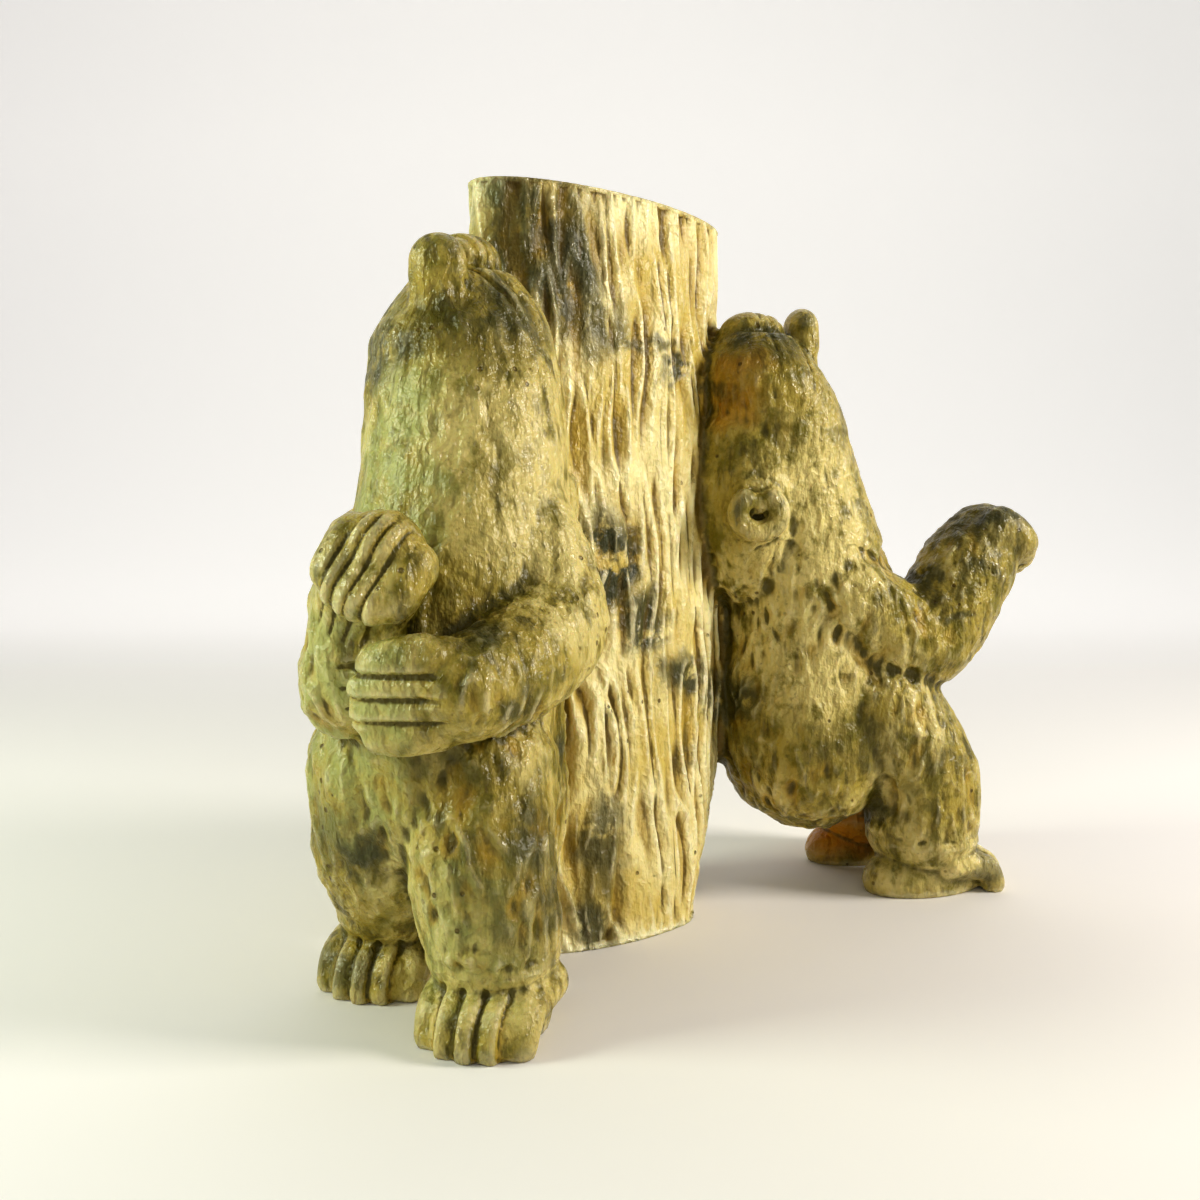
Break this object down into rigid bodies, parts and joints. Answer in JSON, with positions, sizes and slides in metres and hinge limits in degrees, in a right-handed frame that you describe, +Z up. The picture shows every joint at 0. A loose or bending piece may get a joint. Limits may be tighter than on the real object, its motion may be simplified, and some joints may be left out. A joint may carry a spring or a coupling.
{
  "type": "soapstone bear carving",
  "caption": "Soapstone carving of bears standing on their hind legs and scratching their backs on a flat-topped tree trunk.",
  "frame": {"origin": "middle of the bottom of the carving's box, on the surface that it stands on", "axes": "+Z up, X along the trunk's long side with the upright bear at -X and the leaning bear at +X, -Y towards the side that the carving is seen from"},
  "size_m": [0.2624, 0.1288, 0.22],
  "materials": {
    "soapstone": "hand-rubbed, waxed stone with a soft sheen"
  },
  "bodies": {
    "root": {"bear_carving": "soapstone"}
  },
  "joints": []
}
